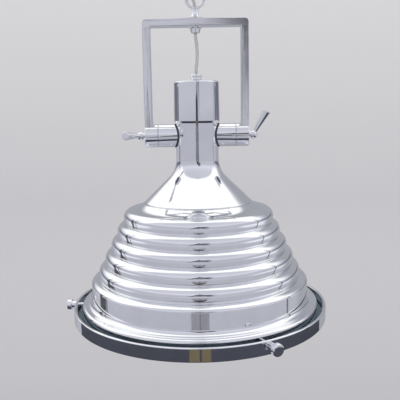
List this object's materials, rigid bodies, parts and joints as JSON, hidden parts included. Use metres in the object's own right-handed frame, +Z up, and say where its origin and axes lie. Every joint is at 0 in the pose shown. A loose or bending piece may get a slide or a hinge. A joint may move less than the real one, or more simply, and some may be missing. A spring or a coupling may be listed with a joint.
{
  "type": "pendant light",
  "caption": "Polished metal pendant light: a stepped, ridged bell shade under a conical neck, tilting in a flat-bar yoke with clamp levers, hung by chain from a ceiling canopy.",
  "frame": {"origin": "middle of the canopy's ceiling face, at the centre of the circle of ceiling screws", "axes": "+Z up into the ceiling, so the light hangs in -Z; the shade tilts about X; -Y is the front"},
  "size_m": [0.4167, 0.4, 0.6676],
  "materials": {
    "chrome": "mirror polish",
    "steel": "zinc plated",
    "brass": "bare",
    "white_ceramic": "glazed",
    "black_rubber": "matte",
    "clear_glass": "clear",
    "clear_cord": "clear"
  },
  "bodies": {
    "canopy": {"canopy_dome": "chrome", "canopy_loop": "chrome", "canopy_nut": "steel", "chain_cord_1": "clear_cord"},
    "link_1": {"chain_link_1": "chrome", "chain_cord_2": "clear_cord"},
    "link_2": {"chain_link_2": "chrome", "chain_cord_3": "clear_cord"},
    "link_3": {"chain_link_3": "chrome", "chain_cord_4": "clear_cord"},
    "yoke": {"hanging_loop": "chrome", "yoke_frame": "chrome", "left_yoke_hub": "chrome", "right_yoke_hub": "chrome", "yoke_washer": "chrome", "yoke_nut": "chrome", "lower_cord": "clear_cord"},
    "shade": {"left_friction_washer": "black_rubber", "right_friction_washer": "black_rubber", "left_pivot_boss": "chrome", "right_pivot_boss": "chrome", "left_saddle_gasket": "black_rubber", "right_saddle_gasket": "black_rubber", "left_boss_nut": "steel", "right_boss_nut": "steel", "neck_cap": "chrome", "gland_foot": "chrome", "gland_nut": "chrome", "cap_nut": "steel", "support_tube": "steel", "neck_flare": "chrome", "lip_screw_set": "steel", "ridged_shade": "chrome", "holder_cover": "white_ceramic", "holder_body": "white_ceramic", "holder_shell": "brass", "holder_contact": "brass", "bulb_base": "steel", "bulb_glass": "clear_glass"},
    "left_lever": {"left_clamp_screw": "steel", "left_lever_ball": "chrome", "left_lever_handle": "chrome"},
    "right_lever": {"right_clamp_screw": "steel", "right_lever_ball": "chrome", "right_lever_handle": "chrome"},
    "lens": {"lens_ring": "chrome", "lens_glass": "clear_glass", "lens_seal": "black_rubber"},
    "thumbscrew_1": {"thumbscrew_1": "chrome"},
    "thumbscrew_2": {"thumbscrew_2": "chrome"},
    "thumbscrew_3": {"thumbscrew_3": "chrome"}
  },
  "joints": [
    {"name": "chain_swing_1", "type": "hinge", "parent": "canopy", "child": "link_1", "pos_m": [0, 0, -0.0727], "axis": [1, 0, 0], "range_deg": [-25, 25], "deforming": ["chain_cord_1"]},
    {"name": "chain_swing_2", "type": "hinge", "parent": "link_1", "child": "link_2", "pos_m": [0, 0, -0.1065], "axis": [0, 1, 0], "range_deg": [-25, 25], "deforming": ["chain_cord_2"]},
    {"name": "chain_swing_3", "type": "hinge", "parent": "link_2", "child": "link_3", "pos_m": [0, 0, -0.1402], "axis": [1, 0, 0], "range_deg": [-25, 25], "deforming": ["chain_cord_3"]},
    {"name": "chain_swing_4", "type": "hinge", "parent": "link_3", "child": "yoke", "pos_m": [0, 0, -0.1739], "axis": [0, 1, 0], "range_deg": [-25, 25], "deforming": ["chain_cord_4"]},
    {"name": "shade_tilt", "type": "hinge", "parent": "yoke", "child": "shade", "pos_m": [0, 0, -0.3839], "axis": [1, 0, 0], "range_deg": [-35, 35], "deforming": ["lower_cord"]},
    {"name": "left_lever_turn", "type": "hinge", "parent": "shade", "child": "left_lever", "pos_m": [-0.087, 0, -0.3839], "axis": [1, 0, 0], "range_deg": [-60, 60]},
    {"name": "right_lever_turn", "type": "hinge", "parent": "shade", "child": "right_lever", "pos_m": [0.087, 0, -0.3839], "axis": [1, 0, 0], "range_deg": [-60, 60]},
    {"name": "lens_drop", "type": "slide", "parent": "shade", "child": "lens", "axis": [0, 0, -1], "range_m": [0, 0.04]},
    {"name": "thumbscrew_1_slide", "type": "slide", "parent": "lens", "child": "thumbscrew_1", "axis": [-0.9994, 0.0349, 0], "range_m": [0, 0.01]},
    {"name": "thumbscrew_2_slide", "type": "slide", "parent": "lens", "child": "thumbscrew_2", "axis": [0.4695, -0.8829, 0], "range_m": [0, 0.01]},
    {"name": "thumbscrew_3_slide", "type": "slide", "parent": "lens", "child": "thumbscrew_3", "axis": [0.5299, 0.848, 0], "range_m": [0, 0.01]}
  ]
}
